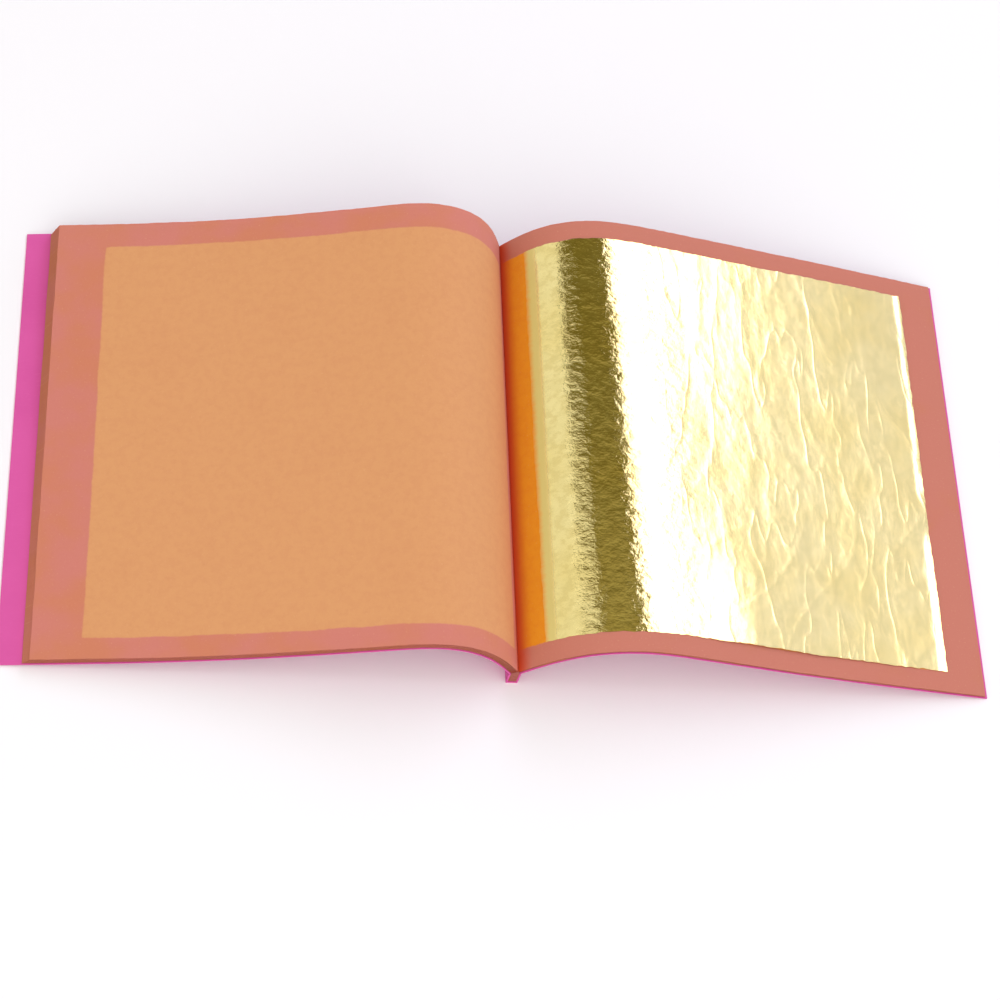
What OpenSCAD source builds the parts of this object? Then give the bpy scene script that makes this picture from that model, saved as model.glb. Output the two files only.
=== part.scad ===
// Booklet of rouged tissue pages with loose gold leaves between them, lying open on a table.
// +X is to the right, +Y runs along the spine away from the reader, +Z is up.
// The origin is on the table, under the gutter, halfway along the spine.
// Every sheet is ruled between a curve at the near end of the booklet and one at the far end.

/* [Leaf] */
// Side of a square gold leaf
leaf_size = 80; // [60:1:82]
// Thickness of a leaf
leaf_t = 0.01; // [0.005:0.005:0.03]
// Bare paper between a leaf and the fore-edge of its page
leaf_margin = 7.4; // [6:0.1:8.5]

/* [Pages] */
// Height of a page along the spine
page_h = 87.7; // [84:0.1:120]
// Width of a left page from the gutter to the fore-edge
left_page_w = 91.4; // [90:0.1:110]
// Width of a right page from the gutter to the fore-edge
right_page_w = 93.3; // [90:0.1:114]
// Thickness of a tissue page
page_t = 0.03; // [0.02:0.01:0.08]
// Air between a page and the leaf next to it
sheet_gap = 0.015; // [0.01:0.005:0.06]
// Number of pages turned to the left
left_pages = 20; // [4:1:20]
// Number of pages still on the right
right_pages = 6; // [2:1:6]

/* [Cover] */
// How far the cover passes the pages at the head and at the foot
cover_rim = 0.2; // [0:0.1:2]
// Thickness of the cover card
card_t = 0.25; // [0.2:0.05:0.4]
// How far the front cover passes the fore-edge of the pages on it
front_overhang = 4.4; // [1:0.1:8]
// How far the back cover passes the fore-edge of the pages on it
back_overhang = 0.3; // [0.1:0.1:8]

/* [Binding] */
// Height of the gutter above the table at the near end
gutter_near = 4.5; // [4:0.1:8]
// Height of the gutter above the table at the far end
gutter_far = 6.5; // [4:0.1:8]
// Diameter of the staple wire
wire_d = 0.4; // [0.3:0.05:0.5]
// Air between a staple and the sheets that it passes through
wire_gap = 0.05; // [0.03:0.01:0.08]
// Length of a staple's crown along the spine
crown_w = 11; // [8:1:14]
// Length of each clinched end
clinch_w = 3.6; // [2:0.1:3.6]
// Distance between the middles of the two staples
staple_pitch = 46; // [30:1:56]
// Height of the staples above the table
staple_h = 1.2; // [1:0.1:1.4]

/* [Left pages, near end] */
// Direction of the pages where they leave the gutter, above level
left_near_wall = 57.5; // [45:0.5:72]
// Steepest fall past the crest, below level
left_near_dip = 13.8; // [8:0.1:18]
// Fall at the fore-edge, below level
left_near_tail = 6; // [2:0.1:10]
// Distance from the gutter to the steepest fall
left_near_bend = 28; // [26:0.5:36]
// Extra spread of the pages at the fore-edge
left_near_fan = 0.1; // [0:0.1:3]

/* [Left pages, far end] */
// Direction of the pages where they leave the gutter, above level
left_far_wall = 70; // [45:0.5:72]
// Steepest fall past the crest, below level
left_far_dip = 16.6; // [8:0.1:18]
// Fall at the fore-edge, below level
left_far_tail = 7.7; // [2:0.1:10]
// Distance from the gutter to the steepest fall
left_far_bend = 30.5; // [26:0.5:36]
// Extra spread of the pages at the fore-edge
left_far_fan = 1.8; // [0:0.1:3]

/* [Right pages, near end] */
// Direction of the pages where they leave the gutter, above level
right_near_wall = 46; // [40:1:60]
// Steepest fall past the crest, below level
right_near_dip = 14.5; // [8:0.1:18]
// Fall at the fore-edge, below level
right_near_tail = 10.5; // [6:0.1:16]
// Distance from the gutter to the steepest fall
right_near_bend = 35; // [26:0.5:38]

/* [Right pages, far end] */
// Direction of the pages where they leave the gutter, above level
right_far_wall = 56; // [40:1:60]
// Steepest fall past the crest, below level
right_far_dip = 11.5; // [8:0.1:18]
// Fall at the fore-edge, below level
right_far_tail = 13.1; // [6:0.1:16]
// Distance from the gutter to the steepest fall
right_far_bend = 30; // [26:0.5:38]

/* [Turning pages] */
// Distance from the gutter to the crease where a page turns
crease_at = 5; // [3:0.1:5.2]
// Air in a fold between two pieces that turn against each other
fold_gap = 0.05; // [0.03:0.01:0.1]

/* [Hidden] */
// One step down a stack: a page, a leaf and the air on both sides of the leaf
pitch = page_t + leaf_t + 2 * sheet_gap;
// Half the air between the two top pages at the gutter
root_gap = 0.03;
// Step along a curve when it is drawn
curve_step = 0.5;
// Where the sheets' facets meet: close together on the bend, wide apart on the flat
fine_step = 2.5;
fine_reach = 37.5;
coarse_step = 6;
// Steps taken when a deeper sheet's own length is found on the curve
settle_steps = 4;
// Extra length of curve for the cover's overhang
spare = 16;

// What the numbers of a curve mean
WALL = 0;
DIP = 1;
TAIL = 2;
BEND = 3;
FAN = 4;
WIDTH = 5;
STACK = 6;
GUTTER = 7;

left_near = [left_near_wall, left_near_dip, left_near_tail, left_near_bend, left_near_fan,
             left_page_w, left_pages * pitch, gutter_near];
left_far = [left_far_wall, left_far_dip, left_far_tail, left_far_bend, left_far_fan,
            left_page_w, left_pages * pitch, gutter_far];
right_near = [right_near_wall, right_near_dip, right_near_tail, right_near_bend, 0,
              right_page_w, right_pages * pitch, gutter_near];
right_far = [right_far_wall, right_far_dip, right_far_tail, right_far_bend, 0,
             right_page_w, right_pages * pitch, gutter_far];

function sorted(v) =
    len(v) < 2 ? v
    : concat(sorted([for (x = v) if (x < v[0]) x]), [v[0]], sorted([for (x = v) if (x > v[0]) x]));

// Soft step from 0 to 1
function ease(t) = let (c = min(max(t, 0), 1)) c * c * (3 - 2 * c);

// Share of the way from the bend to the fore-edge
function past_bend(end, s) = ease((s - end[BEND]) / (end[WIDTH] - end[BEND]));

// Direction of the top page above level, at a distance along it from the gutter
function rise(end, s) =
    end[WALL] - (end[WALL] + end[DIP]) * ease(s / end[BEND])
    + (end[DIP] - end[TAIL]) * past_bend(end, s);

// Depth under the top page: share is 0 for the top page and 1 for the cover
function depth(end, share, s) = share * (end[STACK] + end[FAN] * past_bend(end, s));

// Where a deeper sheet's own length ends, measured along the top page
function along_top(end, share, own, steps = settle_steps, s = undef) =
    steps == 0 ? s
    : let (guess = is_undef(s) ? own : s)
      along_top(end, share, own, steps - 1,
                own + share * end[STACK] * (rise(end, 0) - rise(end, guess)) * PI / 180);

// The top page's curve as [across, up, direction], starting at the gutter
function free_curve(end) =
    [for (i = 0, x = root_gap, z = 0;
          i * curve_step <= end[WIDTH] + spare;
          a = rise(end, (i + 0.5) * curve_step), x = x + curve_step * cos(a),
          z = z + curve_step * sin(a), i = i + 1)
        [x, z, rise(end, i * curve_step)]];

// A point at a distance along the curve and at a depth under it
function spot(curve, s, deep) =
    let (i = floor(s / curve_step),
         f = s / curve_step - i,
         q = (1 - f) * curve[i] + f * curve[i + 1])
    [q[0] + deep * sin(q[2]), q[1] - deep * cos(q[2])];

// Turn about the gutter that lays the underside of the cover on the table
function lay_angle(end, curve, reach) =
    min([for (s = concat([for (i = [8 : floor(reach)]) i], [reach]))
        let (q = spot(curve, s, depth(end, 1, s) + card_t))
        asin(end[GUTTER] / norm(q)) + atan2(q[1], q[0])]);

function turned(end, curve, turn) =
    [for (q = curve)
        [q[0] * cos(turn) + q[1] * sin(turn),
         q[1] * cos(turn) - q[0] * sin(turn) + end[GUTTER],
         q[2] - turn]];

function laid_curve(end, overhang) =
    let (curve = free_curve(end))
    turned(end, curve, lay_angle(end, curve, along_top(end, 1, end[WIDTH] + overhang)));

// Lengths at which a side's sheets have a row of corners
function marks(width) =
    let (keys = [crease_at, width - leaf_margin - leaf_size, width - leaf_margin, width],
         fine = [for (s = [fine_step : fine_step : fine_reach]) s],
         coarse = [for (s = [fine_reach + coarse_step : coarse_step : width]) s])
    sorted(concat(keys, [for (s = concat(fine, coarse))
                         if (min([for (k = keys) abs(s - k)]) > 1) s]));

// Each side as [near end, far end, near curve, far curve, marks, page width]
left_side = [left_near, left_far, laid_curve(left_near, front_overhang),
             laid_curve(left_far, front_overhang), marks(left_page_w)];
right_side = [right_near, right_far, laid_curve(right_near, back_overhang),
              laid_curve(right_far, back_overhang), marks(right_page_w)];
NEAR = 0;
FAR = 1;
CURVE = 2;
MARKS = 4;

// Section of a sheet's face at one end of the booklet
function row(side, at, share, extra, lengths) =
    [for (own = lengths)
        let (s = along_top(side[at], share, own))
        spot(side[CURVE + at], s, depth(side[at], share, s) + extra)];

// A corner of that face at a place along the spine
function between(near_spot, far_spot, y) =
    let (q = near_spot + (far_spot - near_spot) * (y / page_h + 0.5))
    [q[0], y, q[1]];

// Places along the spine where every sheet has a row of corners
LEAF_ROWS = [-leaf_size / 2, leaf_size / 2];
function rows_to(height) = [-height / 2, -leaf_size / 2, leaf_size / 2, height / 2];

// A sheet on the right, or on the left as its mirror image
module sheet(left, share, extra, t, from, to, places) {
    side = left ? left_side : right_side;
    lengths = concat([from], [for (s = side[MARKS]) if (s > from + 0.3 && s < to - 0.3) s], [to]);
    n = len(lengths);
    m = len(places);
    face_points = [for (extra_here = [extra, extra + t])
        let (near_row = row(side, NEAR, share, extra_here, lengths),
             far_row = row(side, FAR, share, extra_here, lengths))
        for (y = places, i = [0 : n - 1]) between(near_row[i], far_row[i], y)];
    low = m * n;
    cells = [for (j = [0 : m - 2], i = [0 : n - 2]) j * n + i];
    last = (m - 1) * n;
    mirror([left ? 1 : 0, 0, 0])
        polyhedron(
            points = face_points,
            faces = concat(
                [for (c = cells) [c, c + n, c + n + 1]],
                [for (c = cells) [c, c + n + 1, c + 1]],
                [for (c = cells) [low + c, low + c + n + 1, low + c + n]],
                [for (c = cells) [low + c, low + c + 1, low + c + n + 1]],
                [for (i = [0 : n - 2]) [low + i, i, i + 1, low + i + 1]],
                [for (i = [last : last + n - 2]) [low + i, low + i + 1, i + 1, i]],
                [for (j = [0 : n : last - n]) [j + n, j, low + j]],
                [for (j = [0 : n : last - n]) [j + n, low + j, low + j + n]],
                [for (j = [n - 1 : n : last - 1]) [j + n, low + j, j]],
                [for (j = [n - 1 : n : last - 1]) [j + n, low + j + n, low + j]]));
}

module page(left, k) {
    color("lightsalmon")
        sheet(left, (k - 1) / (left ? left_pages : right_pages), 0, page_t,
              k == 1 ? crease_at + fold_gap : 0, left ? left_page_w : right_page_w, rows_to(page_h));
}

module page_root(left) {
    color("lightsalmon")
        sheet(left, 0, 0, page_t, 0, crease_at, rows_to(page_h));
}

module gold_leaf(left, share, extra) {
    end = (left ? left_page_w : right_page_w) - leaf_margin;
    color("gold")
        sheet(left, share, extra, leaf_t, end - leaf_size, end, LEAF_ROWS);
}

module leaf_under_page(left, k) {
    gold_leaf(left, (k - 1) / (left ? left_pages : right_pages), page_t + sheet_gap);
}

module top_gold_leaf() {
    gold_leaf(false, 0, -leaf_t - sheet_gap);
}

module front_cover() {
    color("orchid")
        sheet(true, 1, 0, card_t, 0, left_page_w + front_overhang,
              rows_to(page_h + 2 * cover_rim));
}

module back_cover() {
    color("orchid")
        sheet(false, 1, 0, card_t, 0, right_page_w + back_overhang,
              rows_to(page_h + 2 * cover_rim));
}

// Where the sheet at a depth leaves the gutter: across, and up at the near and the far end
function root(side, deep) =
    let (near = spot(side[CURVE], 0, deep), far = spot(side[CURVE + 1], 0, deep))
    [(near[0] + far[0]) / 2, near[1], far[1]];

left_flap_x = root(left_side, left_pages * pitch)[0];
right_flap_x = root(right_side, right_pages * pitch)[0];
leg_y = (crown_w - wire_d) / 2;

// Upright slab of one sheet in the binding, with holes for the staples' legs
module upright(t, height, bottom, tops) {
    rotate([90, 0, 90])
        linear_extrude(t)
            difference() {
                polygon([[-height / 2, bottom], [height / 2, bottom],
                         [height / 2, tops[1]], [-height / 2, tops[0]]]);
                for (middle = [-1, 1], leg = [-1, 1])
                    translate([middle * staple_pitch / 2 + leg * leg_y, staple_h])
                        circle(d = wire_d + 2 * wire_gap, $fn = 24);
            }
}

// Bound edge of one page
module margin_slab(left, k) {
    side = left ? left_side : right_side;
    at = root(side, (k - 1) * pitch);
    low = root(side, (k - 1) * pitch + page_t);
    drop = fold_gap + pitch;
    mirror([left ? 1 : 0, 0, 0])
        translate([at[0], 0, 0])
            upright(page_t, page_h, card_t + fold_gap, [low[1] - drop, low[2] - drop]);
}

module page_margins() {
    color("salmon") {
        for (k = [1 : left_pages]) margin_slab(true, k);
        for (k = [1 : right_pages]) margin_slab(false, k);
    }
}

module flap(left) {
    side = left ? left_side : right_side;
    low = root(side, (left ? left_pages : right_pages) * pitch + card_t);
    mirror([left ? 1 : 0, 0, 0])
        translate([left ? left_flap_x : right_flap_x, 0, 0])
            upright(card_t, page_h + 2 * cover_rim, 0, [low[1] - fold_gap, low[2] - fold_gap]);
}

// The cover card round the bound edges: a flap up each side and the spine under them
module cover_spine() {
    color("orchid") {
        translate([-left_flap_x - card_t, -page_h / 2 - cover_rim, 0])
            cube([left_flap_x + right_flap_x + 2 * card_t, page_h + 2 * cover_rim, card_t]);
        flap(true);
        flap(false);
    }
}

module wire(from, to) {
    along = to - from;
    translate(from)
        rotate([0, acos(along[2] / norm(along)), atan2(along[1], along[0])])
            cylinder(h = norm(along), d = wire_d, $fn = 24);
}

// One staple: crown outside the right flap, legs through the margins, ends clinched on the left
module staple() {
    crown_x = right_flap_x + card_t + wire_d / 2 + wire_gap;
    clinch_x = -left_flap_x - card_t - wire_d / 2 - wire_gap;
    wire([crown_x, -leg_y, 0], [crown_x, leg_y, 0]);
    for (side = [-1, 1]) {
        wire([crown_x, side * leg_y, 0], [clinch_x, side * leg_y, 0]);
        wire([clinch_x, side * leg_y, 0], [clinch_x, side * (leg_y - clinch_w), 0]);
        translate([crown_x, side * leg_y, 0])
            sphere(d = wire_d, $fn = 24);
        translate([clinch_x, side * leg_y, 0])
            sphere(d = wire_d, $fn = 24);
    }
}

module binding_staples() {
    color("silver")
        for (middle = [-1, 1])
            translate([0, middle * staple_pitch / 2, staple_h]) staple();
}

front_cover();
back_cover();
cover_spine();
page_margins();
binding_staples();
page_root(true);  // left_page_1_root
page_root(false);  // right_page_1_root
top_gold_leaf();
for (k = [1 : left_pages]) page(true, k);
for (k = [1 : right_pages]) page(false, k);
for (k = [1 : left_pages - 1])
    leaf_under_page(true, k);
for (k = [1 : right_pages - 1])
    leaf_under_page(false, k);
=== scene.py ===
import math

import bmesh
import bpy
from mathutils import Matrix, Vector, noise


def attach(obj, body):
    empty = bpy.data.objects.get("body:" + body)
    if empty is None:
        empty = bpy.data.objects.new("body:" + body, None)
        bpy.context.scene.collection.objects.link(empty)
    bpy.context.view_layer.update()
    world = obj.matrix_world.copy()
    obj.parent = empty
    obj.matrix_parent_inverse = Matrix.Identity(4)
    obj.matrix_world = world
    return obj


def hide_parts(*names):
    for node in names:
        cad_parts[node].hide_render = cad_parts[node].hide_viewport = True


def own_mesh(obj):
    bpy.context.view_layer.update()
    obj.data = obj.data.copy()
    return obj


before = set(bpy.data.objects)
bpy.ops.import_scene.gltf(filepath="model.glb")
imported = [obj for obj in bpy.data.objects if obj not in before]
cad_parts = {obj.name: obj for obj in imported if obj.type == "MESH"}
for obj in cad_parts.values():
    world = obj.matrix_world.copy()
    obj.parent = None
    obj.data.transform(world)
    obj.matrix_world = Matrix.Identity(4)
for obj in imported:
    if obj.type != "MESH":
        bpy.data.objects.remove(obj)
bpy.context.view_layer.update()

MM = 0.001
RAD = math.pi / 180

# The booklet's sizes in millimetres, as in the part
LEAF_SIZE, LEAF_T, LEAF_MARGIN = 80.0, 0.01, 7.4
PAGE_H, PAGE_T, SHEET_GAP = 87.7, 0.03, 0.015
PITCH = PAGE_T + LEAF_T + 2 * SHEET_GAP
CARD_T, COVER_RIM = 0.25, 0.2
CREASE_AT, ROOT_GAP = 5.0, 0.03
GUTTER_NEAR, GUTTER_FAR = 4.5, 6.5

# A curve is followed in steps, and somewhat further than its page is wide
CURVE_STEP, SPARE = 0.5, 16.0
# No sheet comes down to the table nearer to the gutter than this
TABLE_FROM = 8
# Rounds in which the length along the top page's curve is found
LENGTH_ROUNDS = 4

# Closed, the sheets keep this share of their arch and lie this far apart
FLAT_KEEP, FLAT_PITCH = 0.006, 0.05

# How far a leaf's face lies under its page's; the top leaf lies on its page
UNDER_PAGE, ON_PAGE = PAGE_T + SHEET_GAP, -LEAF_T - SHEET_GAP

# How uneven the edges are, and how far in from an edge
PAGE_RAGGED, LEAF_RAGGED, TOP_LEAF_RAGGED = 0.16, 0.2, 0.35
RAGGED_REACH = 2.0

# Cells across and along each kind of sheet
TOP_PAGE_CELLS, PAGE_CELLS, ROOT_CELLS, COVER_CELLS = (90, 60), (64, 24), (8, 60), (80, 30)
TOP_LEAF_CELLS, NEXT_LEAF_CELLS, LEAF_CELLS = (210, 210), (80, 80), (50, 16)

# Where in the noise the waves of the top pages and of the loose leaf are taken
LEFT_SEED, RIGHT_SEED, LEAF_SEED = 3.0, 8.0, 2.0

# The camera, fitted to the photograph, in millimetres and degrees
CAMERA_AT = Vector((-100.572, -255.774, 480.145)) * MM
CAMERA_PITCH, CAMERA_YAW, CAMERA_ROLL = 29.145, -21.852, 21.900
FOCAL_PX, FRAME_PX, SENSOR_MM = 2974.280, 1000, 36.0


def aim_camera():
    data = bpy.data.cameras.new("camera")
    data.sensor_width = SENSOR_MM
    data.lens = FOCAL_PX * SENSOR_MM / FRAME_PX
    data.clip_start = 0.01
    camera = bpy.data.objects.new("camera", data)
    bpy.context.scene.collection.objects.link(camera)
    camera.matrix_world = (Matrix.Translation(CAMERA_AT)
                           @ Matrix.Rotation(CAMERA_YAW * RAD, 4, "Z")
                           @ Matrix.Rotation(CAMERA_PITCH * RAD, 4, "X")
                           @ Matrix.Rotation(CAMERA_ROLL * RAD, 4, "Z"))
    bpy.context.scene.camera = camera


aim_camera()


# Curves of the open booklet

def ease(t):
    """From 0 to 1 as t does, level at both ends."""
    t = min(max(t, 0.0), 1.0)
    return t * t * (3 - 2 * t)


class End:
    """The curve that the top page follows at one end of a side, laid on the table."""

    def __init__(self, wall, dip, tail, bend, fan, width, stack, gutter, overhang):
        self.wall, self.dip, self.tail, self.bend, self.fan = wall, dip, tail, bend, fan
        self.width, self.stack = width, stack
        x, z, i = ROOT_GAP, 0.0, 0
        free = []
        while i * CURVE_STEP <= width + SPARE:
            free.append((x, z, self.rise(i * CURVE_STEP)))
            a = self.rise((i + 0.5) * CURVE_STEP) * RAD
            x += CURVE_STEP * math.cos(a)
            z += CURVE_STEP * math.sin(a)
            i += 1
        self.curve = free
        reach = self.along(1, width + overhang)
        turn = math.inf
        for s in [*range(TABLE_FROM, int(reach) + 1), reach]:
            x, z = self.spot(s, self.depth(1, s) + CARD_T)
            turn = min(turn, math.asin(gutter / math.hypot(x, z)) + math.atan2(z, x))
        c, n = math.cos(turn), math.sin(turn)
        self.curve = [(x * c + z * n, z * c - x * n + gutter, a - turn / RAD)
                      for x, z, a in free]

    def past_bend(self, s):
        return ease((s - self.bend) / (self.width - self.bend))

    def rise(self, s):
        """The slope in degrees, before the curve is laid on the table."""
        return (self.wall - (self.wall + self.dip) * ease(s / self.bend)
                + (self.dip - self.tail) * self.past_bend(s))

    def depth(self, share, s):
        """How deep under the top page a sheet lies; share is 0 at the top, 1 at the cover."""
        return share * (self.stack + self.fan * self.past_bend(s))

    def along(self, share, own):
        """The length along the top page's curve, from the sheet's own length."""
        s = own
        for _ in range(LENGTH_ROUNDS):
            s = own + share * self.stack * (self.rise(0) - self.rise(s)) * RAD
        return s

    def spot(self, s, deep):
        i = min(int(s / CURVE_STEP), len(self.curve) - 2)
        f = s / CURVE_STEP - i
        x, z, a = ((1 - f) * p + f * q for p, q in zip(self.curve[i], self.curve[i + 1]))
        return x + deep * math.sin(a * RAD), z - deep * math.cos(a * RAD)


class Side:
    """One side of the open booklet; sign is -1 on the left. Each end is its wall, dip and tail
    in degrees and its bend and fan in millimetres; closed is the slope, in degrees, and the
    tilt of the plane that the side closes onto."""

    def __init__(self, sign, width, pages, overhang, near, far, closed):
        self.sign, self.width, self.pages, self.overhang = sign, width, pages, overhang
        stack = pages * PITCH
        self.near = End(*near, width, stack, GUTTER_NEAR, overhang)
        self.far = End(*far, width, stack, GUTTER_FAR, overhang)
        slope, tilt = closed
        self.flat = Vector((sign * math.sin(slope * RAD), -tilt, math.cos(slope * RAD)))
        leaf_end = width - LEAF_MARGIN
        self.leaf_span = leaf_end - LEAF_SIZE, leaf_end

    def point(self, share, extra, own, y):
        """A place on a sheet, from its own length and its place along the spine."""
        places = []
        for end in (self.near, self.far):
            s = end.along(share, own)
            places.append(end.spot(s, end.depth(share, s) + extra))
        f = y / PAGE_H + 0.5
        (x0, z0), (x1, z1) = places
        return Vector((self.sign * (x0 + (x1 - x0) * f), y, z0 + (z1 - z0) * f)) * MM


LEFT = Side(-1, 91.4, 20, 4.4, (57.5, 13.8, 6, 28, 0.1), (70, 16.6, 7.7, 30.5, 1.8),
            (3.7, 0.0263))
RIGHT = Side(1, 93.3, 6, 0.3, (46, 14.5, 10.5, 35, 0), (56, 11.5, 13.1, 30, 0), (2.6, 0.0236))


# Materials

class Socket:
    """A shader value that takes part in Python arithmetic."""

    def __init__(self, nodes, link):
        self.nodes, self.link = nodes, link

    def _maths(self, operation, *values):
        return self.nodes.add("ShaderNodeMath", {"operation": operation}, dict(enumerate(values)))

    def __add__(self, other):
        return self._maths("ADD", self, other)

    def __sub__(self, other):
        return self._maths("SUBTRACT", self, other)

    def __rsub__(self, other):
        return self._maths("SUBTRACT", other, self)

    def __mul__(self, other):
        return self._maths("MULTIPLY", self, other)

    def __pow__(self, other):
        return self._maths("POWER", self, other)

    def __abs__(self):
        return self._maths("ABSOLUTE", self)

    def step(self, low, high):
        """0 below low and 1 above high, softly between."""
        return self.nodes.add("ShaderNodeMapRange", {"interpolation_type": "SMOOTHSTEP"},
                              {"Value": self, "From Min": low, "From Max": high})

    def between(self, low, high, soft):
        """1 between two limits, with soft edges inside them."""
        return self.step(low, low + soft) * (1 - self.step(high - soft, high))

    def other(self, output):
        """Another output of the same node."""
        return Socket(self.nodes, self.link.node.outputs[output])

    __radd__, __rmul__ = __add__, __mul__


class Finish:
    """A material, or the world, and the nodes that it is made of."""

    def __init__(self, name, shader="Principled BSDF", kind="materials"):
        self.data = getattr(bpy.data, kind).new(name)
        self.data.use_nodes = True
        self.tree = self.data.node_tree
        self.shader = self.tree.nodes[shader]

    def add(self, kind, settings=None, values=None, output=0):
        node = self.tree.nodes.new(kind)
        for key, value in (settings or {}).items():
            setattr(node, key, value)
        for key, value in (values or {}).items():
            self.put(node.inputs[key], value)
        return Socket(self, node.outputs[output])

    def put(self, socket, value):
        if isinstance(value, Socket):
            self.tree.links.new(value.link, socket)
        elif socket.type == "RGBA":
            socket.default_value = (*value, 1)
        else:
            socket.default_value = value

    def set(self, **values):
        for key, value in values.items():
            self.put(self.shader.inputs[key.replace("_", " ")], value)

    def sheet_place(self):
        """The sheet's map, and the millimetres from the gutter and from the middle."""
        uv = self.add("ShaderNodeUVMap", {"uv_map": "sheet"})
        across = self.add("ShaderNodeSeparateXYZ", None, {0: uv})
        return uv, across * 100, across.other(1) * 100 - 50

    def place(self, kind="Object"):
        return self.add("ShaderNodeTexCoord", None, None, kind)

    def noise(self, place, scale, detail, rough=0.5, stretch=(1, 1, 1), turn=0.0, shift=0.0):
        moved = self.add("ShaderNodeMapping", None, {
            "Vector": place, "Scale": stretch, "Rotation": (0, 0, turn * RAD),
            "Location": (shift, shift * 0.7, 0)})
        return self.add("ShaderNodeTexNoise", None, {
            "Vector": moved, "Scale": scale, "Detail": detail, "Roughness": rough})

    def mix(self, share, first, second):
        return self.add("ShaderNodeMix", {"data_type": "RGBA"},
                        {"Factor": share, 6: first, 7: second}, 2)

    def bump(self, height, strength, distance):
        self.set(Normal=self.add("ShaderNodeBump", None, {
            "Height": height, "Strength": strength, "Distance": distance}))


def linear(red, green, blue):
    """A colour in linear light, from its 0 to 255 values on a screen."""
    return tuple((c / 255 / 12.92) if c <= 10 else ((c / 255 + 0.055) / 1.055) ** 2.4
                 for c in (red, green, blue))


ROSE, ROSE_WARM, ROSE_DARK = linear(208, 127, 112), linear(207, 128, 96), linear(196, 112, 96)
ROSE_RIGHT, ROSE_RIGHT_WARM = linear(200, 123, 104), linear(199, 124, 89)
# The second colour on the next line is painted shade for the gutter, darker and redder.
ROSE_BOUND, GUTTER_PAINTED_SHADE, FIBRE = linear(190, 104, 88), linear(204, 70, 26), linear(232, 190, 150)
PEACH, PEACH_DEEP = linear(219, 157, 104), linear(212, 146, 98)
ORANGE, ORANGE_DEEP = linear(235, 151, 25), linear(228, 132, 22)
# Edge colours: the pale one is painted light for the fore-edge, the dark one is painted shade for
# the head and the foot, and the last one is grain.
EDGE_PAINTED_LIGHT, EDGE_PAINTED_SHADE, EDGE_GRAIN = linear(255, 222, 186), linear(150, 74, 52), linear(190, 108, 84)
# The first colour on the next line is a painted glow for the fore-edge.
EDGE_PAINTED_GLOW, BLACK = linear(206, 126, 101), (0, 0, 0)
GOLD, GOLD_WARM, GOLD_GRAIN = (1.0, 0.85, 0.38), (0.98, 0.80, 0.31), (0.88, 0.67, 0.22)
GOLD_STREAK, GOLD_PATCH = (0.74, 0.58, 0.20), (0.84, 0.70, 0.28)
GOLD_WORN, GOLD_DULL = linear(236, 150, 30), linear(220, 206, 124)
MAGENTA, MAGENTA_DEEP = linear(222, 91, 166), linear(216, 85, 160)
MAGENTA_PALE = linear(228, 109, 178)
STEEL_DULL, STEEL_BRIGHT = (0.55, 0.55, 0.57), (0.72, 0.72, 0.74)
FLOOR_WHITE, HORIZON, OVERHEAD = (0.97, 0.97, 0.97), (0.86, 0.86, 0.85), (0.165, 0.14, 0.045)

# How softly a leaf's mark ends, in millimetres
MARK_SOFT = 0.35


def tissue(name, mark=None, seed=0.0, gutter=(0.0, 2.2), rouge=(ROSE, ROSE_WARM),
           warm=(0.35, 0.7)):
    """Rouged tissue with painted shade, darker and redder in the gutter; mark is what a leaf has
    left, as its reach across and along, in millimetres, and its colours: (from, to, low, high,
    pale, deep)."""
    f = Finish(name)
    uv, across, along = f.sheet_place()
    cloud = f.noise(uv, 9, 3, 0.55, shift=seed)
    mottle = f.noise(uv, 60, 3, 0.6, shift=seed + 4)
    grain = f.noise(uv, 130, 4, 0.7, shift=seed)
    speck = f.noise(uv, 260, 2, 0.6, shift=seed + 3)
    paper = f.mix(cloud.step(*warm), *rouge)
    paper = f.mix(grain.step(0.5, 0.85) * 0.25, paper, ROSE_DARK)
    if mark:
        start, stop, low, high, pale, deep = mark
        wobble = f.noise(uv, 14, 3, 0.6, shift=seed + 7) * 0.7 - 0.35
        fuzz = f.noise(uv, 120, 2, 0.6, shift=seed + 9) * 0.3 - 0.15
        edge = wobble + fuzz
        inside = ((across + edge).between(start, stop, MARK_SOFT)
                  * (along + edge).between(low, high, MARK_SOFT))
        worn = f.mix(grain.step(0.45, 0.75) * 0.3 + mottle.step(0.4, 0.65) * 0.3
                     + cloud.step(0.45, 0.8) * 0.2, pale, deep)
        paper = f.mix(inside, paper, worn)
    paper = f.mix(speck.step(0.62, 0.76) * 0.22, paper, FIBRE)
    # Painted shade: the paper turns darker and redder towards the gutter.
    paper = f.mix(1 - across.step(*gutter), paper, GUTTER_PAINTED_SHADE)
    f.set(Base_Color=paper, Roughness=grain * 0.2 + 0.72,
          Specular_IOR_Level=0.22, Sheen_Weight=0.08)
    f.bump(grain * 0.5 + speck * 0.4 + mottle * 0.5, 0.3, 0.00006)
    return f.data


def tissue_edge(name):
    """The cut edges of the pages: pale with painted light and a painted glow at the fore-edge,
    dark with painted shade at the head and the foot.
    """
    f = Finish(name)
    uv, _, along = f.sheet_place()
    grain = f.noise(uv, 300, 3, 0.6)
    # Painted shade at the head and the foot; painted light and a painted glow at the fore-edge.
    ends = abs(along).step(43.2, 43.6)
    colour = f.mix(ends, EDGE_PAINTED_LIGHT, EDGE_PAINTED_SHADE)
    f.set(Base_Color=f.mix(grain * 0.2, colour, EDGE_GRAIN), Roughness=grain * 0.2 + 0.75,
          Emission_Color=f.mix(ends, EDGE_PAINTED_GLOW, BLACK), Emission_Strength=0.16)
    return f.data


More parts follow.
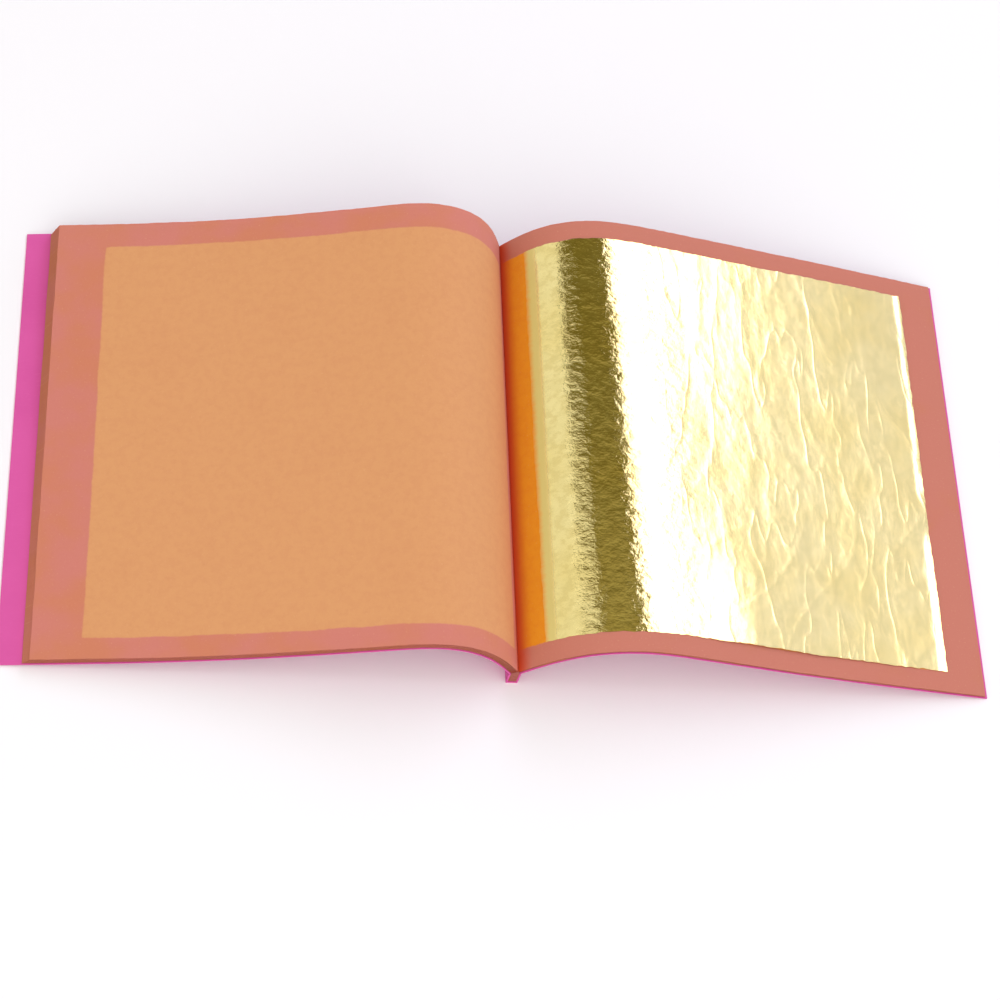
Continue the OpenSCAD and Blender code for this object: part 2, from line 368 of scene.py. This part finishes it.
def gold(name, seed, worn_from=None):
    """Beaten leaf: mirror-bright on the bend and satin on the flat. A leaf with a worn_from is
    worn through where it starts, at that many millimetres from the gutter."""
    f = Finish(name)
    uv, across, _ = f.sheet_place()
    flat = across.step(24, 38)
    crinkled = across.step(6, 16) * 0.85 + 0.15
    streaks = f.noise(uv, 46, 4, 0.62, stretch=(1.0, 1.3, 1), turn=35, shift=seed)
    patches = f.noise(uv, 30, 4, 0.6, stretch=(1.2, 0.9, 1), turn=-20, shift=seed + 3)
    facets = f.noise(uv, 12, 2, 0.5, stretch=(1.5, 0.8, 1), turn=-18, shift=seed + 2)
    folds = f.noise(uv, 7, 2, 0.5, stretch=(2.2, 0.6, 1), turn=-24, shift=seed + 6)
    grain = f.noise(uv, 240, 2, 0.6, shift=seed + 5)
    tone = f.noise(uv, 7, 3, 0.5, shift=seed + 8)
    colour = f.mix(tone.step(0.35, 0.7), GOLD, GOLD_WARM)
    colour = f.mix(grain.step(0.62, 0.8) * 0.2, colour, GOLD_GRAIN)
    colour = f.mix(streaks.step(0.42, 0.62) * (0.42 - flat * 0.34), colour, GOLD_STREAK)
    colour = f.mix(patches.step(0.42, 0.62) * 0.3, colour, GOLD_PATCH)
    if worn_from is not None:
        fray = f.noise(uv, 60, 4, 0.65, stretch=(0.6, 1.8, 1), turn=15, shift=seed + 11)
        dull = (across + fray * 1.2 - 0.6).step(worn_from - 0.5, worn_from + 1.2)
        whole = (across + fray * 0.5 - 0.25).step(worn_from + 1.7, worn_from + 3.1)
        colour = f.mix(whole, f.mix(dull, GOLD_WORN, GOLD_DULL), colour)
        f.set(Metallic=whole, Roughness=(1 - whole) * 0.35 + flat * 0.02 + streaks * 0.05 + 0.08)
    else:
        f.set(Metallic=1.0, Roughness=streaks * 0.1 + 0.12)
    f.set(Base_Color=colour)
    creases = (1 - abs(folds - 0.5) * 2) ** 14
    rough = streaks * crinkled * (1.0 - flat * 0.95)
    f.bump(rough * 0.8 + facets * flat * 0.35 + patches * (0.22 - flat * 0.10) * crinkled
           + creases * flat * 0.08, 0.75, 0.00022)
    return f.data


def card(name):
    f = Finish(name)
    place = f.place()
    cloud = f.noise(place, 60, 3)
    fibre = f.noise(place, 1500, 4, 0.7, stretch=(0.5, 1.6, 1))
    colour = f.mix(cloud.step(0.3, 0.7), MAGENTA, MAGENTA_DEEP)
    colour = f.mix(fibre.step(0.5, 0.8) * 0.3, colour, MAGENTA_PALE)
    f.set(Base_Color=colour, Roughness=fibre * 0.2 + 0.55, Specular_IOR_Level=0.3)
    f.bump(fibre, 0.25, 0.00005)
    return f.data


def steel(name):
    f = Finish(name)
    place = f.place()
    drawn = f.noise(place, 3000, 3, 0.6, stretch=(0.2, 0.2, 1))
    dull = f.noise(place, 400, 2)
    f.set(Base_Color=f.mix(dull, STEEL_DULL, STEEL_BRIGHT), Metallic=1.0,
          Roughness=drawn * 0.2 + 0.2)
    f.bump(drawn, 0.2, 0.00002)
    return f.data


def edge_paper(name):
    """The bound edges, which have no map of their own."""
    f = Finish(name)
    grain = f.noise(f.place(), 1200, 4, 0.6)
    f.set(Base_Color=f.mix(grain.step(0.3, 0.8), ROSE, ROSE_BOUND), Roughness=grain * 0.2 + 0.7)
    f.bump(grain, 0.3, 0.00004)
    return f.data


TISSUE_INNER = tissue("rouged tissue", seed=1.0)
TISSUE_LEFT_TOP = tissue("rouged tissue with a peach mark",
                         (1.2, LEFT.leaf_span[1] - 1.35, -40.1, 39.1, PEACH, PEACH_DEEP), 2.0,
                         gutter=(0.0, 0.8))
TISSUE_RIGHT_TOP = tissue("rouged tissue with an orange mark",
                          (0.0, RIGHT.leaf_span[1], -40.0, 40.0, ORANGE, ORANGE_DEEP), 5.0,
                          gutter=(0.0, 3.4), rouge=(ROSE_RIGHT, ROSE_RIGHT_WARM),
                          warm=(0.55, 0.95))
TISSUE_EDGE = tissue_edge("cut edges of tissue")
GOLD_TOP = gold("beaten gold leaf", 1.5, worn_from=RIGHT.leaf_span[0])
GOLD_INNER = gold("beaten gold leaf between pages", 6.5)
COVER_CARD = card("magenta card")
STAPLE_WIRE = steel("staple wire")
MARGIN_PAPER = edge_paper("bound edges of tissue")


# Sheets

def wander(x, y, z):
    """Smooth noise around 0."""
    return noise.noise(Vector((x, y, z)))


def ridge(x, y, seed):
    """A crest that runs where smooth noise crosses zero, from 0 to 1."""
    return 1 - min(1.0, abs(wander(x, y, seed)) * 2.2)


def page_wave(s, y, seed):
    """How far a top page lifts off the one under it, in millimetres."""
    return (0.05 + 0.05 * wander(s / 34, y / 40, seed)) * ease(s / 20)


def leaf_wave(s, y, seed):
    """Cockles and creases of a beaten leaf above its page, in millimetres."""
    flat = ease((s - 26) / 16)
    bend = ease((s - 10) / 8) * (1 - flat)
    upper = ease((y + 25) / 40)
    long_creases = ridge((s * 0.94 + y * 0.34) / 9, (y * 0.94 - s * 0.34) / 30, seed) ** 5
    cross = ridge((s * 0.8 - y * 0.6) / 11, (y * 0.8 + s * 0.6) / 26, seed + 4) ** 6
    crinkle = ridge((s * 0.9 - y * 0.42) / 3.4, (y * 0.9 + s * 0.42) / 1.3, seed + 9) ** 2
    swell = 0.5 + 0.5 * wander(s / 15, y / 20, seed + 13)
    ripple = 0.5 + 0.5 * wander(s / 5, y / 6, seed + 17)
    curl = 0.12 * ease((s - 84.2) / 1.7) * ease(0.7 + wander(y / 14, seed, 1.0) * 2)
    hill = 0.42 * ease((s - 30) / 18) * (1 - ease((s - 40) / 56)) * ease((-6 - y) / 28)
    return (0.01 + hill + 0.014 * flat * upper * long_creases + 0.016 * flat * (1 - upper) * cross
            + (0.004 + 0.02 * bend) * crinkle + 0.06 * flat * swell + 0.05 * bend * ripple + curl)


def left_wave(s, y):
    return page_wave(s, y, LEFT_SEED)


def right_wave(s, y):
    return page_wave(s, y, RIGHT_SEED)


def top_leaf_wave(s, y):
    return right_wave(s, y) + leaf_wave(s, y, LEAF_SEED)


def torn(t, seed, size):
    """An uneven edge: slow drift and small nicks."""
    drift = wander(t / 9, seed, 0.3)
    nick = wander(t / 1.1, seed, 5.1)
    return size * (0.6 * drift + 0.55 * nick)


def ragged_shift(t, other, low, high, size, seed):
    """Moves a sheet's outer rows in and out; the inner ones stay."""
    if t - low < RAGGED_REACH:
        return torn(other, seed, size) * (1 - (t - low) / RAGGED_REACH)
    if high - t < RAGGED_REACH:
        return torn(other, seed + 50, size) * (1 - (high - t) / RAGGED_REACH)
    return 0.0


def new_object(name, bm):
    mesh = bpy.data.meshes.new(name)
    bm.to_mesh(mesh)
    bm.free()
    made = bpy.data.objects.new(name, mesh)
    bpy.context.scene.collection.objects.link(made)
    return made


def new_sheet(name, side, share, extra, thick, span, height, cells, finish,
              wave=None, ragged=0.0, seed=0.0, torn_start=False, rim=None):
    """A thin sheet on its curve, with a map of its own lengths; span is from and to, in mm."""
    start, stop = span
    torn_from = start if torn_start else -math.inf
    bm = bmesh.new()
    bmesh.ops.create_grid(bm, x_segments=cells[0], y_segments=cells[1], size=1.0)
    layer = bm.loops.layers.uv.new("sheet")
    half = max(v.co.x for v in bm.verts)
    places = {}
    for v in bm.verts:
        own = start + (stop - start) * (v.co.x / half + 1) / 2
        y = height / 2 * v.co.y / half
        if ragged:
            own += ragged_shift(own, y, torn_from, stop, ragged, seed)
            y += ragged_shift(y, own, -height / 2, height / 2, ragged, seed + 20)
        places[v] = own, y
        lift = wave(own, y) if wave else 0.0
        v.co = side.point(share, extra - lift, own, y)
    for edge in bm.edges:
        edge.smooth = not edge.is_boundary
    for face in bm.faces:
        face.smooth = True
        for loop in face.loops:
            own, y = places[loop.vert]
            loop[layer].uv = own / 100, y / 100 + 0.5
    if side.sign < 0:
        bmesh.ops.reverse_faces(bm, faces=bm.faces[:])
    sheet = new_object(name, bm)
    sheet.data.materials.append(finish)
    body = sheet.modifiers.new("thickness", "SOLIDIFY")
    body.thickness = thick * MM
    body.offset = -1
    if rim:
        sheet.data.materials.append(rim)
        body.material_offset_rim = 1
    return sheet


def flat_place(side, share, extra):
    """Where a sheet lies when the booklet is closed: above its cover, in a closer stack."""
    above = ((1 - share) * side.pages * PITCH - extra) * FLAT_PITCH / PITCH
    return side.point(1.0, 0.0, 0.0, 0.0) + side.flat * above * MM


def settle(piece, node, body, side, share, extra):
    """Puts a piece under its body and hides its node's own piece from the part."""
    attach(piece, body)
    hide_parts(node)
    tuple(flat_place(side, share, extra))
    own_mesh(piece)


for side, word, half, top_finish, top_wave in (
        (LEFT, "left", "front_half", TISSUE_LEFT_TOP, left_wave),
        (RIGHT, "right", "back_half", TISSUE_RIGHT_TOP, right_wave)):
    for k in range(1, side.pages + 1):
        share = (k - 1) / side.pages
        first = k == 1
        page = new_sheet(f"{word}_tissue_{k}", side, share, 0.0, PAGE_T,
                         (CREASE_AT if first else 0.0, side.width), PAGE_H,
                         TOP_PAGE_CELLS if first else PAGE_CELLS,
                         top_finish if first else TISSUE_INNER,
                         wave=top_wave if first else None, ragged=PAGE_RAGGED,
                         seed=k * 1.7 + side.sign, rim=TISSUE_EDGE)
        settle(page, f"{word}_page_{k}", f"{word}_page" if first else half,
               side, share, 0.0)
    root = new_sheet(f"{word}_tissue_1_root", side, 0.0, 0.0, PAGE_T, (0.0, CREASE_AT), PAGE_H,
                     ROOT_CELLS, top_finish, wave=top_wave, rim=TISSUE_EDGE)
    settle(root, f"{word}_page_1_root", half, side, 0.0, 0.0)
    for k in range(1, side.pages):
        share = (k - 1) / side.pages
        leaf = new_sheet(f"{word}_gold_{k}", side, share, UNDER_PAGE, LEAF_T, side.leaf_span,
                         LEAF_SIZE, NEXT_LEAF_CELLS if k == 1 else LEAF_CELLS, GOLD_INNER,
                         ragged=LEAF_RAGGED, seed=k * 2.3 + side.sign, torn_start=True)
        settle(leaf, f"{word}_gold_leaf_{k}", half, side, share, UNDER_PAGE)

top_leaf = new_sheet("top_gold", RIGHT, 0.0, ON_PAGE, LEAF_T, RIGHT.leaf_span, LEAF_SIZE,
                     TOP_LEAF_CELLS, GOLD_TOP, wave=top_leaf_wave, ragged=TOP_LEAF_RAGGED,
                     seed=4.4, torn_start=True)
settle(top_leaf, "top_gold_leaf", "loose_leaf", RIGHT, 0.0, ON_PAGE)

for side, node, body in ((LEFT, "front_cover", "front_half"), (RIGHT, "back_cover", "back_half")):
    cover = new_sheet(f"{node}_card", side, 1.0, 0.0, CARD_T, (0.0, side.width + side.overhang),
                      PAGE_H + 2 * COVER_RIM, COVER_CELLS, COVER_CARD)
    settle(cover, node, body, side, 1.0, 0.0)


# Pieces taken over from the part, with a material of their own

def dress(node, finish):
    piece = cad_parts[node]
    piece.data.materials.clear()
    piece.data.materials.append(finish)


dress("cover_spine", COVER_CARD)
dress("page_margins", MARGIN_PAPER)
dress("binding_staples", STAPLE_WIRE)


# Studio

FLOOR_HALF, FLOOR_CELLS, FLOOR_DROP = 3.0, 8, 0.02 * MM
PANEL_TARGET = Vector((0.03, 0, 0.01))


def floor():
    """A white floor, which glows further off than the lights reach."""
    bm = bmesh.new()
    bmesh.ops.create_grid(bm, x_segments=FLOOR_CELLS, y_segments=FLOOR_CELLS, size=FLOOR_HALF)
    for v in bm.verts:
        v.co.z = -FLOOR_DROP
    ground = new_object("floor", bm)
    f = Finish("pale floor")
    away = f.add("ShaderNodeVectorMath", {"operation": "LENGTH"}, {0: f.place()}, "Value")
    f.set(Base_Color=FLOOR_WHITE, Roughness=0.9, Specular_IOR_Level=0.1,
          Emission_Color=f.mix(away.step(0.45, 1.3), BLACK, HORIZON), Emission_Strength=1.0)
    ground.data.materials.append(f.data)


def panel(name, lean, tilt, distance, size, radiance, colour):
    """A soft light that faces the booklet: lean is from upright towards the right, tilt away from
    the reader, in degrees, and size is across and along, in metres."""
    data = bpy.data.lights.new(name, "AREA")
    data.shape = "RECTANGLE"
    data.size, data.size_y = size
    data.energy = math.pi * size[0] * size[1] * radiance
    data.color = colour
    light = bpy.data.objects.new(name, data)
    bpy.context.scene.collection.objects.link(light)
    light.visible_camera = False
    level = math.cos(tilt * RAD)
    towards = Vector((level * math.sin(lean * RAD), math.sin(tilt * RAD),
                      level * math.cos(lean * RAD)))
    across = Vector((0, 1, 0)).cross(towards).normalized()
    axes = Matrix((across, towards.cross(across), towards)).transposed()
    light.matrix_world = Matrix.Translation(PANEL_TARGET + towards * distance) @ axes.to_4x4()


def sky():
    """A dark room with a pale band along the horizon, higher behind the reader."""
    f = Finish("studio", "Background", "worlds")
    height = f.add("ShaderNodeSeparateXYZ", None, {0: f.place("Generated")}, "Z")
    behind = (height.other("Y") * -1).step(0.1, 0.7)
    f.set(Color=f.mix((height * (1 - behind * 0.6)).step(0.04, 0.24), HORIZON, OVERHEAD))
    bpy.context.scene.world = f.data


bpy.context.scene.view_settings.view_transform = "Standard"
floor()
sky()
panel("window", 31.0, 26, 1.5, (0.575, 1.8), 2.8, (1.0, 1.0, 1.3))
panel("side wall", 60.0, 26, 1.5, (0.84, 1.8), 0.66, (0.98, 1.0, 1.42))
panel("ceiling, low", -4, 14, 1.5, (0.9, 0.42), 0.2, (1.0, 0.9, 0.5))
panel("left wall", -62, 26, 1.5, (0.98, 1.8), 0.70, (0.98, 1.0, 1.1))
panel("left wall, low", -34, 13.0, 1.5, (0.50, 0.50), 0.72, (0.98, 1.0, 1.1))
panel("key", -26.6, -38.3, 1.0, (2.2, 1.7), 1.0, (1.02, 1.0, 1.04))
panel("fill", 47.9, -33.2, 1.0, (1.0, 1.0), 0.75, (1.0, 1.0, 1.06))
